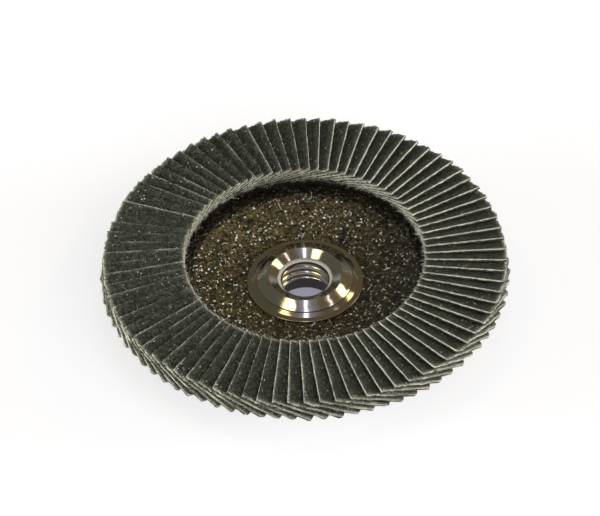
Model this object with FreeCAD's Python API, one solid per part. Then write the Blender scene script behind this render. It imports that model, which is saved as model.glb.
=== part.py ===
import FreeCAD, Part
import math
import os

# Flap disc for an angle grinder: overlapping abrasive cloth flaps bonded to a
# depressed-centre glass-fibre plate that is clamped between the rear flange of a
# threaded steel hub and a steel front flange under the hub's rolled lip.
# Millimetres, +Z up. Origin: centre of the hub's rear face, working side up.

# Flap ring
flap_count = 82
disc_radius = 57.5             # to the exposed outer corners of the flaps
dish_opening_radius = 34.6     # to the exposed inner corners of the flaps
flap_sweep_deg = 2.17          # how far the outer corner runs ahead of the inner one
first_flap_deg = 3.29          # direction of the first flap's inner corner
flap_plan_width = 15.5         # across a flap, seen from above
flap_thickness = 0.85
flap_clearance = 0.09          # between neighbours at their inner ends
flap_outer_drop = 1.0          # outer end of a flap below its inner end
flap_seat_clearance = 0.05

# Backing plate and adhesive bed
plate_radius = 53.0
plate_thickness = 3.0
plate_hole_radius = 11.115
plate_edge_chamfer = 0.5
dish_depth = 2.65
dish_floor_radius = 19.5       # flat middle of the depressed centre
dish_slope_radius = 33.0       # where the slope meets the flat ring
dish_bend_radius = 8.0
bed_thickness = 2.2            # adhesive under the inner ends of the flaps
bed_inner_fraction = 0.02      # along a flap, from its inner end
bed_outer_fraction = 0.70

# Threaded hub, from the rear face up
hex_across_flats = 23.8
hex_height = 5.75
hex_chamfer = 1.0              # height of the chamfer on the hexagon's corners
rear_flange_radius = 19.0
rear_flange_thickness = 2.2
rear_flange_chamfer = 0.6
counterbore_radius = 8.3
counterbore_depth = 5.5
thread_minor_radius = 6.75     # 5/8-11 thread, bored to its minor diameter
spigot_clearance = 0.05        # hub spigot in the plate hole
spigot_recess = 0.3            # spigot stops short of the plate's front face
barrel_radius = 9.2
barrel_clearance = 0.05        # barrel in the front flange

# Lip rolled over the front flange, heights from the flange's top
bore_face_drop = 0.35          # face round the thread, below the flange's top
bore_face_radius = 8.15
funnel_foot_radius = 8.3
funnel_slope_deg = 33.0        # from the bore up to the crest
lip_crest_radius = 10.65
lip_crest_rise = 1.9
lip_crest_round = 0.4
lip_fall_deg = 28.5            # from the crest down to the edge
lip_edge_radius = 13.8

# Front flange
front_flange_radius = 16.8
front_flange_thickness = 1.35
front_flange_ledge = 0.15      # flat of the flange seen beside the lip
front_flange_shoulder_radius = 15.2
front_flange_shoulder_rise = 0.72  # above the plate, where the flange levels out
front_flange_rim_rise = 0.6    # top of the flange at its rim, above the plate
front_flange_rim_chamfer = 0.2
front_flange_edge_tuck = 0.2   # rim drawn in where it meets the plate

# Heights of the stack
plate_back_z = hex_height + rear_flange_thickness
dish_floor_z = plate_back_z + plate_thickness
ring_face_z = dish_floor_z + dish_depth
flap_seat_z = ring_face_z + bed_thickness
flange_top_z = dish_floor_z + front_flange_thickness

pitch_deg = 360.0 / flap_count
z_axis = FreeCAD.Vector(0, 0, 1)
centre = FreeCAD.Vector(0, 0, 0)


def at(radius, z):
    """Point of a turned profile, in the XZ plane."""
    return FreeCAD.Vector(radius, 0, z)


def line(start, end):
    return Part.LineSegment(start, end).toShape()


def arc(start, through, end):
    return Part.Arc(start, through, end).toShape()


def revolved(edges):
    """Solid turned about the disc's axis from a closed profile."""
    profile = Part.Face(Part.Wire(Part.__sortEdges__(edges)))
    return profile.revolve(centre, z_axis, 360)


def turned_by(vector, degrees):
    """Vector turned about the disc's axis."""
    return FreeCAD.Rotation(z_axis, degrees).multVec(vector)


def bowl_edges(lift):
    """Floor, two bends and slope of the depressed centre, from hole to slope end."""
    rise = dish_depth
    run = dish_slope_radius - dish_floor_radius
    slope = math.atan2(rise, run)
    tangent = dish_bend_radius * math.tan(slope / 2)
    low = at(dish_floor_radius, dish_floor_z + lift)
    high = at(dish_slope_radius, ring_face_z + lift)
    along = FreeCAD.Vector(math.cos(slope), 0, math.sin(slope))
    half = FreeCAD.Vector(math.sin(slope / 2), 0, -math.cos(slope / 2))
    bend = dish_bend_radius / math.cos(slope / 2) - dish_bend_radius
    low_mid = low - half * bend
    high_mid = high + half * bend
    start = at(plate_hole_radius, dish_floor_z + lift)
    bend_a = low - at(tangent, 0)
    bend_b = low + along * tangent
    bend_c = high - along * tangent
    bend_d = high + at(tangent, 0)
    edges = [
        line(start, bend_a),
        arc(bend_a, low_mid, bend_b),
        line(bend_b, bend_c),
        arc(bend_c, high_mid, bend_d),
    ]
    return edges, start, bend_d


def backing_plate():
    """Moulded glass-fibre plate with a depressed centre and an arbor hole."""
    front, front_start, front_end = bowl_edges(0)
    back, back_start, back_end = bowl_edges(-plate_thickness)
    rim = plate_edge_chamfer
    edges = front + back
    top_z = ring_face_z
    low_z = ring_face_z - plate_thickness
    edge = [
        front_end,
        at(plate_radius - rim, top_z),
        at(plate_radius, top_z - rim),
        at(plate_radius, low_z + rim),
        at(plate_radius - rim, low_z),
        back_end,
    ]
    edges += [line(a, b) for a, b in zip(edge, edge[1:])]
    edges.append(line(back_start, front_start))
    return revolved(edges)


class Flap:
    """Lie of the first flap: its exposed edge, its fall and its upward normal."""

    def __init__(self):
        inner = turned_by(FreeCAD.Vector(dish_opening_radius, 0, 0), first_flap_deg)
        outer = turned_by(FreeCAD.Vector(disc_radius, 0, 0), first_flap_deg + flap_sweep_deg)
        across = z_axis.cross(outer - inner).normalize()
        # Each flap lies on its neighbour, so the tilt follows from the thickness.
        spacing = (turned_by(inner, pitch_deg) - inner).dot(across)
        tilt = math.asin((flap_thickness + flap_clearance) / spacing)
        rise = flap_plan_width * math.tan(tilt) + flap_thickness * math.cos(tilt)
        self.inner = inner + z_axis * (flap_seat_z + rise)
        self.outer = outer + z_axis * (flap_seat_z + rise - flap_outer_drop)
        self.downhill = across * math.cos(tilt) - z_axis * math.sin(tilt)
        self.upward = (self.outer - self.inner).cross(self.downhill).normalize()
        self.width = flap_plan_width / math.cos(tilt)

    def solid(self):
        reach = self.downhill * self.width
        corners = [self.inner, self.outer, self.outer + reach, self.inner + reach]
        top = Part.Face(Part.makePolygon(corners + corners[:1]))
        return top.extrude(self.upward * -flap_thickness)

    def seat(self, fraction):
        """Foot and top of the step that the far edge stands against."""
        gap = flap_seat_clearance
        near = self.inner + (self.outer - self.inner) * fraction
        far_low = near + self.downhill * self.width - self.upward * flap_thickness
        foot = far_low + self.downhill * gap - self.upward * gap
        # The step ends under the next flap.
        next_upward = turned_by(self.upward, pitch_deg)
        under_next = turned_by(far_low, pitch_deg) - next_upward * gap
        reach = (under_next - foot).dot(next_upward) / self.upward.dot(next_upward)
        return foot, foot + self.upward * reach


def tooth_ring(flap, fraction):
    """Closed saw-tooth line of the flaps' seats at one place along the flaps."""
    foot, top = flap.seat(fraction)
    points = []
    for index in range(flap_count):
        points.append(turned_by(foot, index * pitch_deg))
        points.append(turned_by(top, index * pitch_deg))
    return points


def flattened(points, z):
    return [FreeCAD.Vector(point.x, point.y, z) for point in points]


def adhesive_bed(flap):
    """Ring of adhesive whose teeth fill the wedges under the flaps' far ends."""
    inner_teeth = tooth_ring(flap, bed_inner_fraction)
    outer_teeth = tooth_ring(flap, bed_outer_fraction)
    rings = [
        flattened(inner_teeth, ring_face_z),
        inner_teeth,
        outer_teeth,
        flattened(outer_teeth, ring_face_z),
    ]
    faces = []
    for ring, following in zip(rings, rings[1:] + rings[:1]):
        for index in range(len(ring)):
            after = (index + 1) % len(ring)
            corners = [ring[index], ring[after], following[after], following[index]]
            faces.append(Part.Face(Part.makePolygon(corners + corners[:1])))
    shell = Part.makeShell(faces)
    shell.sewShape()
    return Part.makeSolid(shell)


def lip_edges():
    """Crown of the rolled lip, from the funnel's foot over the crest to its edge."""
    crest = at(lip_crest_radius, flange_top_z + lip_crest_rise)
    middle = crest - z_axis * lip_crest_round
    inward = math.radians(funnel_slope_deg)
    outward = math.radians(lip_fall_deg)
    start = middle + at(-math.sin(inward), math.cos(inward)) * lip_crest_round
    end = middle + at(math.sin(outward), math.cos(outward)) * lip_crest_round
    foot_drop = (start.x - funnel_foot_radius) * math.tan(inward)
    edge_drop = (lip_edge_radius - end.x) * math.tan(outward)
    foot = at(funnel_foot_radius, start.z - foot_drop)
    edge = at(lip_edge_radius, end.z - edge_drop)
    return [line(foot, start), arc(start, crest, end), line(end, edge)], foot, edge


def threaded_hub():
    """Steel hub: hexagon, rear flange, spigot and a barrel with a rolled lip."""
    spigot_radius = plate_hole_radius - spigot_clearance
    spigot_z = dish_floor_z - spigot_recess
    bore_face_z = flange_top_z - bore_face_drop
    blank_radius = hex_across_flats / 2 / math.cos(math.radians(30))
    edges, funnel_foot, lip_edge = lip_edges()
    points = [
        lip_edge,
        at(lip_edge_radius, flange_top_z),
        at(barrel_radius, flange_top_z),
        at(barrel_radius, spigot_z),
        at(spigot_radius, spigot_z),
        at(spigot_radius, plate_back_z),
        at(rear_flange_radius, plate_back_z),
        at(rear_flange_radius, hex_height + rear_flange_chamfer),
        at(rear_flange_radius - rear_flange_chamfer, hex_height),
        at(blank_radius, hex_height),
        at(blank_radius, hex_chamfer),
        at(blank_radius - hex_chamfer * math.tan(math.radians(60)), 0),
        at(counterbore_radius, 0),
        at(counterbore_radius, counterbore_depth),
        at(thread_minor_radius, counterbore_depth),
        at(thread_minor_radius, bore_face_z),
        at(bore_face_radius, bore_face_z),
        funnel_foot,
    ]
    edges += [line(a, b) for a, b in zip(points, points[1:])]
    blank = revolved(edges)
    prism = hexagon(hex_across_flats, hex_height)
    outside_the_flats = Part.makeCylinder(2 * blank_radius, hex_height).cut(prism)
    return blank.cut(outside_the_flats)


def hexagon(across_flats, height):
    radius = across_flats / 2 / math.cos(math.radians(30))
    corners = [turned_by(FreeCAD.Vector(radius, 0, 0), 60 * index) for index in range(7)]
    return Part.Face(Part.makePolygon(corners)).extrude(z_axis * height)


def front_flange():
    """Steel flange with a shoulder beside the rolled lip and a broken rim."""
    hole = barrel_radius + barrel_clearance
    floor = dish_floor_z
    rim_z = floor + front_flange_rim_rise
    points = [
        at(hole, floor),
        at(hole, flange_top_z),
        at(lip_edge_radius + front_flange_ledge, flange_top_z),
        at(front_flange_shoulder_radius, floor + front_flange_shoulder_rise),
        at(front_flange_radius - front_flange_rim_chamfer, rim_z),
        at(front_flange_radius, rim_z - front_flange_rim_chamfer),
        at(front_flange_radius - front_flange_edge_tuck, floor),
        at(hole, floor),
    ]
    return revolved([line(a, b) for a, b in zip(points, points[1:])])


def main():
    os.makedirs("parts", exist_ok=True)
    flap = Flap()
    shapes = {
        "backing_plate": backing_plate(),
        "adhesive_bed": adhesive_bed(flap),
        "threaded_hub": threaded_hub(),
        "front_flange": front_flange(),
    }
    cloth = flap.solid()
    for pair in range(flap_count // 2):
        two = []
        for index in (2 * pair, 2 * pair + 1):
            two.append(cloth.rotated(centre, z_axis, index * pitch_deg))
        shapes[f"flap_pair_{pair + 1:02d}"] = Part.makeCompound(two)
    for name, shape in shapes.items():
        shape.exportStep(f"parts/{name}.step")


main()
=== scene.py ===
import math

import bpy
import numpy as np
from mathutils import Matrix, Vector


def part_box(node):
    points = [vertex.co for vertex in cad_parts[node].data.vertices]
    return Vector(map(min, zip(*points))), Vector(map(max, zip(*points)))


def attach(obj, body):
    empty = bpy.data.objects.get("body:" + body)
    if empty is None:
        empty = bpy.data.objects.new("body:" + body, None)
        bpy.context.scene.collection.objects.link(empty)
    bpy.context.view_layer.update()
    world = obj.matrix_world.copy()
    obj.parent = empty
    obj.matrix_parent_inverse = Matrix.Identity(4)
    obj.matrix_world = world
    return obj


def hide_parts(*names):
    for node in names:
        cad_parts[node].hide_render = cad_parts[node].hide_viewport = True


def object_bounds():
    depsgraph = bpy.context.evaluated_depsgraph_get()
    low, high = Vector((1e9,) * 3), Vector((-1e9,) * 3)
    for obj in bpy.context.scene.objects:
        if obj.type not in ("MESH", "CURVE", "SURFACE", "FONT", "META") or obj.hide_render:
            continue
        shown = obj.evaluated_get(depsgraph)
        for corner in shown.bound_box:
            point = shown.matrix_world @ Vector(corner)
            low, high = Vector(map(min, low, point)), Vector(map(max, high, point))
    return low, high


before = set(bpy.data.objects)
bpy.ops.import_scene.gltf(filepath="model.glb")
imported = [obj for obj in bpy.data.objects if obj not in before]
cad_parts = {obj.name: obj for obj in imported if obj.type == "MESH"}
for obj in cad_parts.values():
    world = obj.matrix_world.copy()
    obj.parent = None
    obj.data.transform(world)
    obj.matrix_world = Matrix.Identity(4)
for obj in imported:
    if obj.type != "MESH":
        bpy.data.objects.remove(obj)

bl_info = {
    "name": "Flap disc dressing",
    "version": (1, 0, 0),
    "blender": (4, 5, 0),
    "location": "View3D > Sidebar > Flap Disc",
    "description": "Dresses a flap disc: grainy cloth flaps, a resin dish and a bright threaded hub",
    "category": "Object",
}

MM = 0.001
INCH = 0.0254
PHOTO_WIDTH = 600
SENSOR_WIDTH = 36.0
# The one body of the disc, which has no moving parts
BODY = "root"
TONE = "tone"
CAD_BOX = [list(corner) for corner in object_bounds()]
FLAP_NODES = sorted(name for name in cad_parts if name.startswith("flap_pair_"))
FLAP_COUNT = 2 * len(FLAP_NODES)
PITCH = 2 * math.pi / FLAP_COUNT


# Sizes and colours a user may change

class FlapDiscClothProps(bpy.types.PropertyGroup):
    cloth_share: bpy.props.FloatProperty(
        name="Pale Share", description="Part of a flap's thickness whose cut edge is pale yarn",
        default=0.40, min=0.2, max=0.9, subtype="FACTOR")
    grain_size: bpy.props.FloatProperty(
        name="Grain Size", description="Distance between neighbouring abrasive grains",
        default=0.42 * MM, unit="LENGTH")
    grain_relief: bpy.props.FloatProperty(
        name="Grain Relief", description="Height of the abrasive grains",
        default=0.11 * MM, unit="LENGTH")
    sway: bpy.props.FloatProperty(
        name="Sway", description="Scale of a flap's random shift along and across itself",
        default=0.16 * MM, unit="LENGTH")
    fray_length: bpy.props.FloatProperty(
        name="Fray Length", description="Typical length of the loose fibres at the cut ends",
        default=0.7 * MM, unit="LENGTH")
    grain_colour: bpy.props.FloatVectorProperty(
        name="Grain Colour", description="Abrasive grain in its dark size coat",
        default=(0.028, 0.032, 0.024), subtype="COLOR")
    cloth_colour: bpy.props.FloatVectorProperty(
        name="Cloth Colour", description="Cut edge of the cloth backing",
        default=(0.86, 0.84, 0.69), subtype="COLOR")


class FlapDiscPlateProps(bpy.types.PropertyGroup):
    granule_size: bpy.props.FloatProperty(
        name="Granule Size", description="Width of the lumps in the dish's resin",
        default=1.25 * MM, unit="LENGTH")
    granule_relief: bpy.props.FloatProperty(
        name="Granule Relief", description="Height of the lumps in the dish's resin",
        default=0.55 * MM, unit="LENGTH")
    lint_count: bpy.props.IntProperty(
        name="Yarn Ends", description="Number of loose yarn ends lying in the dish",
        default=150, min=0, max=1000)
    lint_length: bpy.props.FloatProperty(
        name="Yarn Length", description="Typical length of the loose yarn ends",
        default=1.3 * MM, unit="LENGTH")
    weave_pitch: bpy.props.FloatProperty(
        name="Weave Pitch", description="Distance between strands of the glass mesh on the back",
        default=3.4 * MM, unit="LENGTH")
    resin_colour: bpy.props.FloatVectorProperty(
        name="Resin Colour", description="Dark amber resin of the plate",
        default=(0.080, 0.052, 0.018), subtype="COLOR")


class FlapDiscHubProps(bpy.types.PropertyGroup):
    thread_pitch: bpy.props.FloatProperty(
        name="Thread Pitch", description="Distance between turns of the spindle thread",
        default=INCH / 11, unit="LENGTH")
    thread_major_diameter: bpy.props.FloatProperty(
        name="Thread Diameter", description="Major diameter of the spindle thread",
        default=INCH * 5 / 8, unit="LENGTH")
    edge_round: bpy.props.FloatProperty(
        name="Edge Round", description="Radius worn on the turned edges",
        default=0.3 * MM, unit="LENGTH")
    crest_round: bpy.props.FloatProperty(
        name="Crest Round", description="Radius of the rolled lip along its crest",
        default=0.45 * MM, unit="LENGTH")
    lip_round: bpy.props.FloatProperty(
        name="Lip Round", description="Radius of the rolled lip along its outer edge",
        default=0.7 * MM, unit="LENGTH")
    steel_colour: bpy.props.FloatVectorProperty(
        name="Steel Colour", description="Bright plating of the hub and flange",
        default=(0.64, 0.61, 0.55), subtype="COLOR")
    flange_colour: bpy.props.FloatVectorProperty(
        name="Flange Colour", description="Duller, browner plating of the front flange",
        default=(0.53, 0.48, 0.39), subtype="COLOR")


class FlapDiscStageProps(bpy.types.PropertyGroup):
    camera_distance: bpy.props.FloatProperty(
        name="Camera Distance", description="From the camera to the middle of the flaps' top plane",
        default=1.405, unit="LENGTH")
    camera_elevation: bpy.props.FloatProperty(
        name="Camera Elevation", description="Height of the camera above the disc, as an angle",
        default=math.radians(45.02), subtype="ANGLE")
    camera_roll: bpy.props.FloatProperty(
        name="Camera Roll", description="Lean of the camera about its own axis",
        default=math.radians(1.44), subtype="ANGLE")
    focal_pixels: bpy.props.FloatProperty(
        name="Focal Length", description="Focal length in pixels of the photograph's frame",
        default=4920.0)
    floor_colour: bpy.props.FloatVectorProperty(
        name="Floor Colour", description="Pale floor that the disc lies on",
        default=(0.45, 0.45, 0.46), subtype="COLOR")


# Small helpers for meshes

def new_piece(name, points, faces, materials, face_material=None, tone=None):
    """Smooth mesh object from arrays of points and quads, with a tone for each point."""
    mesh = bpy.data.meshes.new(name)
    mesh.from_pydata([tuple(p) for p in points], [], [tuple(f) for f in faces])
    for material in materials:
        mesh.materials.append(material)
    if face_material is not None:
        mesh.polygons.foreach_set("material_index", np.asarray(face_material, dtype=np.int32))
    mesh.polygons.foreach_set("use_smooth", np.full(len(mesh.polygons), True, dtype=bool))
    if tone is not None:
        layer = mesh.attributes.new(TONE, "FLOAT", "POINT")
        layer.data.foreach_set("value", np.asarray(tone, dtype=np.float32))
    mesh.update()
    piece = bpy.data.objects.new(name, mesh)
    bpy.context.scene.collection.objects.link(piece)
    return piece


def grid_faces(rows, columns, start=0, wrap=False, flip=False):
    """Quads of a grid whose points are stored row by row."""
    last = columns if wrap else columns - 1
    row, column = np.meshgrid(np.arange(rows - 1), np.arange(last), indexing="ij")
    after = (column + 1) % columns
    a = start + row * columns + column
    b = start + row * columns + after
    c = start + (row + 1) * columns + after
    d = start + (row + 1) * columns + column
    order = (a, d, c, b) if flip else (a, b, c, d)
    return np.stack([part.ravel() for part in order], axis=1)


def tube_faces(count, rings, sides):
    """Quads of several open tubes that are stored one after the other."""
    starts = np.arange(count) * rings * sides
    return np.vstack([grid_faces(rings, sides, start, wrap=True) for start in starts])


class Patchwork:
    """Blocks of points and quads gathered into one mesh, with a kind and a tone for each."""

    def __init__(self):
        self.points, self.faces, self.kinds, self.tones, self.count = [], [], [], [], 0

    def add(self, points, faces, kinds, tones=0.0):
        """Add points, and quads that number them from 0."""
        self.points.append(points)
        self.faces.append(faces + self.count)
        self.kinds.append(np.full(len(faces), kinds))
        self.tones.append(np.broadcast_to(tones, len(points)))
        self.count += len(points)

    def add_grid(self, block, kind, wrap=False, flip=False, tone=0.0):
        """Add points that stand in rows and columns."""
        rows, columns = block.shape[:2]
        tones = np.broadcast_to(tone, (rows, columns)).ravel()
        self.add(block.reshape(-1, 3), grid_faces(rows, columns, wrap=wrap, flip=flip), kind, tones)

    def arrays(self):
        """Points, faces, kinds and tones of all blocks."""
        return (np.vstack(self.points), np.vstack(self.faces),
                np.concatenate(self.kinds), np.concatenate(self.tones))


def turned(points, angle):
    """Points turned about the disc's axis."""
    c, s = math.cos(angle), math.sin(angle)
    out = np.array(points, dtype=float)
    x, y = out[..., 0].copy(), out[..., 1].copy()
    out[..., 0] = c * x - s * y
    out[..., 1] = s * x + c * y
    return out


def hashed(ix, iy, salt):
    """Repeatable value from 0 to 1 for each cell of a grid."""
    value = np.sin(ix * 127.1 + iy * 311.7 + salt * 74.7) * 43758.5453
    return value - np.floor(value)


def value_noise(x, y, salt):
    """Smooth noise from 0 to 1 with one lump per unit."""
    ix, iy = np.floor(x), np.floor(y)
    fx, fy = x - ix, y - iy
    fx = fx * fx * (3 - 2 * fx)
    fy = fy * fy * (3 - 2 * fy)
    low = hashed(ix, iy, salt) * (1 - fx) + hashed(ix + 1, iy, salt) * fx
    high = hashed(ix, iy + 1, salt) * (1 - fx) + hashed(ix + 1, iy + 1, salt) * fx
    return low * (1 - fy) + high * fy


def lumps(x, y, salt):
    """Rounded lumps of uneven height, one per unit, from 0 in the creases to 1."""
    ix, iy = np.floor(x), np.floor(y)
    nearest = np.full(np.shape(x), 9.0)
    height = np.zeros(np.shape(x))
    for dx in (-1, 0, 1):
        for dy in (-1, 0, 1):
            cx, cy = ix + dx, iy + dy
            px = cx + hashed(cx, cy, salt)
            py = cy + hashed(cx, cy, salt + 3)
            distance = np.hypot(x - px, y - py)
            closer = distance < nearest
            nearest = np.where(closer, distance, nearest)
            height = np.where(closer, hashed(cx, cy, salt + 7), height)
    dome = np.clip(1 - nearest * nearest / 0.72, 0, 1)
    return dome * (0.35 + 0.65 * height)


# Shader node groups that several materials share

def group_with(name, inputs, outputs):
    """Empty shader node group with named sockets."""
    group = bpy.data.node_groups.new(name, "ShaderNodeTree")
    for socket_name, kind, value in inputs:
        socket = group.interface.new_socket(name=socket_name, in_out="INPUT", socket_type=kind)
        socket.default_value = value
    for socket_name, kind in outputs:
        group.interface.new_socket(name=socket_name, in_out="OUTPUT", socket_type=kind)
    entry = group.nodes.new("NodeGroupInput")
    leave = group.nodes.new("NodeGroupOutput")
    return group, entry, leave


def maths(tree, operation, first, second=None, clamp=False):
    """Math node whose inputs are sockets or numbers."""
    node = tree.nodes.new("ShaderNodeMath")
    node.operation = operation
    node.use_clamp = clamp
    for socket, value in zip(node.inputs, (first, second)):
        if isinstance(value, bpy.types.NodeSocket):
            tree.links.new(value, socket)
        elif value is not None:
            socket.default_value = value
    return node.outputs[0]


def ramp(tree, value, low, high):
    """Value spread so that low becomes 0 and high becomes 1."""
    node = tree.nodes.new("ShaderNodeMapRange")
    node.clamp = True
    tree.links.new(value, node.inputs["Value"])
    node.inputs["From Min"].default_value = low
    node.inputs["From Max"].default_value = high
    return node.outputs["Result"]


def blended(tree, mask, first, second):
    """Colour mix, where inputs are sockets or colours."""
    node = tree.nodes.new("ShaderNodeMix")
    node.data_type = "RGBA"
    for socket, value in ((node.inputs[0], mask), (node.inputs[6], first), (node.inputs[7], second)):
        if isinstance(value, bpy.types.NodeSocket):
            tree.links.new(value, socket)
        elif isinstance(value, (int, float)):
            socket.default_value = value
        else:
            socket.default_value = (*value[:3], 1.0)
    return node.outputs[2]


def over(tree, base, mask, share, colour):
    """The base with a colour laid over it where the mask is bright, up to a share."""
    return blended(tree, maths(tree, "MULTIPLY", mask, share), base, colour)


def speckle_group():
    """Cells of random brightness: a value for each cell, bright flecks and domed grains."""
    group, entry, leave = group_with(
        "grain_speckle",
        [("Size", "NodeSocketFloat", 0.0004), ("Fleck Share", "NodeSocketFloat", 0.05)],
        [("Cell", "NodeSocketFloat"), ("Fleck", "NodeSocketFloat"), ("Height", "NodeSocketFloat")])
    place = group.nodes.new("ShaderNodeTexCoord")
    scale = maths(group, "DIVIDE", 1.0, entry.outputs["Size"])
    cells = group.nodes.new("ShaderNodeTexVoronoi")
    group.links.new(place.outputs["Object"], cells.inputs["Vector"])
    group.links.new(scale, cells.inputs["Scale"])
    split = group.nodes.new("ShaderNodeSeparateColor")
    group.links.new(cells.outputs["Color"], split.inputs[0])
    least = maths(group, "SUBTRACT", 1.0, entry.outputs["Fleck Share"])
    chosen = maths(group, "GREATER_THAN", split.outputs[1], least)
    core = ramp(group, cells.outputs["Distance"], 0.5, 0.3)
    group.links.new(split.outputs[0], leave.inputs["Cell"])
    group.links.new(maths(group, "MULTIPLY", chosen, core), leave.inputs["Fleck"])
    group.links.new(ramp(group, cells.outputs["Distance"], 0.75, 0.0), leave.inputs["Height"])
    return group


def cloudy_group():
    """Soft patches for dust, stain and tone: a broad and a fine mask."""
    group, entry, leave = group_with(
        "cloudy_tone",
        [("Patch Size", "NodeSocketFloat", 0.01), ("Roughness", "NodeSocketFloat", 0.6)],
        [("Patches", "NodeSocketFloat"), ("Fine", "NodeSocketFloat")])
    place = group.nodes.new("ShaderNodeTexCoord")
    scale = maths(group, "DIVIDE", 1.0, entry.outputs["Patch Size"])
    for output, multiple in (("Patches", 1.0), ("Fine", 9.0)):
        noise = group.nodes.new("ShaderNodeTexNoise")
        noise.inputs["Detail"].default_value = 4.0
        group.links.new(place.outputs["Object"], noise.inputs["Vector"])
        group.links.new(maths(group, "MULTIPLY", scale, multiple), noise.inputs["Scale"])
        group.links.new(entry.outputs["Roughness"], noise.inputs["Roughness"])
        group.links.new(ramp(group, noise.outputs["Fac"], 0.32, 0.68), leave.inputs[output])
    return group


def weave_group():
    """Crossing strands: a height, and a mask of the gaps between strands."""
    group, entry, leave = group_with(
        "strand_weave",
        [("Pitch", "NodeSocketFloat", 0.0006)],
        [("Height", "NodeSocketFloat"), ("Gap", "NodeSocketFloat")])
    place = group.nodes.new("ShaderNodeTexCoord")
    split = group.nodes.new("ShaderNodeSeparateXYZ")
    group.links.new(place.outputs["Object"], split.inputs[0])
    turns = maths(group, "DIVIDE", math.pi, entry.outputs["Pitch"])
    waves = []
    for axis in (0, 1):
        phase = maths(group, "MULTIPLY", split.outputs[axis], turns)
        waves.append(maths(group, "ABSOLUTE", maths(group, "SINE", phase)))
    height = maths(group, "MAXIMUM", waves[0], waves[1])
    gap = ramp(group, height, 0.55, 0.2)
    group.links.new(height, leave.inputs["Height"])
    group.links.new(gap, leave.inputs["Gap"])
    return group


def toned(tree):
    """The tone that the mesh carries for each point."""
    node = tree.nodes.new("ShaderNodeAttribute")
    node.attribute_name = TONE
    return node.outputs["Fac"]


def placed(tree, group, **values):
    """A shared group in a material, with its own values."""
    node = tree.nodes.new("ShaderNodeGroup")
    node.node_tree = group
    for key, value in values.items():
        node.inputs[key.replace("_", " ").title()].default_value = value
    return node


def new_material(name, colour, roughness=0.5, metallic=0.0):
    """Material with a plain Principled shader, and the colour shown in the viewport."""
    material = bpy.data.materials.new(name)
    material.use_nodes = True
    material.diffuse_color = (*colour[:3], 1.0)
    shader = material.node_tree.nodes["Principled BSDF"]
    shader.inputs["Base Color"].default_value = (*colour[:3], 1.0)
    shader.inputs["Roughness"].default_value = roughness
    shader.inputs["Metallic"].default_value = metallic
    return material, material.node_tree, shader


def bumped(tree, shader, height, distance):
    """Bump on a shader from a height between 0 and 1."""
    bump = tree.nodes.new("ShaderNodeBump")
    bump.inputs["Distance"].default_value = distance
    tree.links.new(height, bump.inputs["Height"])
    tree.links.new(bump.outputs["Normal"], shader.inputs["Normal"])


def roughened(tree, shader, least, mask, more):
    """Roughness that changes from its first value as a mask grows bright."""
    rough = maths(tree, "ADD", least, maths(tree, "MULTIPLY", mask, more))
    tree.links.new(rough, shader.inputs["Roughness"])


def shared_groups():
    """The shared groups, built once."""
    makers = {"grain_speckle": speckle_group, "cloudy_tone": cloudy_group, "strand_weave": weave_group}
    for name, maker in makers.items():
        if name not in bpy.data.node_groups:
            maker()
    return [bpy.data.node_groups[name] for name in makers]


def axis_distance(tree):
    """Distance from the disc's axis, and the place's x and y, over the surface."""
    place = tree.nodes.new("ShaderNodeTexCoord")
    split = tree.nodes.new("ShaderNodeSeparateXYZ")
    tree.links.new(place.outputs["Object"], split.inputs[0])
    radius = maths(tree, "SQRT", maths(tree, "ADD",
                   maths(tree, "MULTIPLY", split.outputs[0], split.outputs[0]),
                   maths(tree, "MULTIPLY", split.outputs[1], split.outputs[1])))
    return radius, split.outputs[0], split.outputs[1]


def shade(colour, factor):
    """The colour, made lighter or darker."""
    return tuple(channel * factor for channel in colour[:3])


# Materials of the flaps

GRAIN_STAIN = (0.040, 0.040, 0.026)
GRAIN_DUST = (0.40, 0.38, 0.24)
PAINTED_GRAIN_GLINT = (0.70, 0.71, 0.63)
BRIGHT_YARN = (0.96, 0.95, 0.84)
EDGE_DARK = (0.20, 0.19, 0.13)
BACK_BINDER = (0.16, 0.13, 0.075)
# Dark patches and pale flecks of the painted shade on the lower cut edges
EDGE_SHADE_PATCH = (0.07, 0.062, 0.04)
EDGE_SHADE_FLECK = (0.45, 0.43, 0.33)


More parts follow.
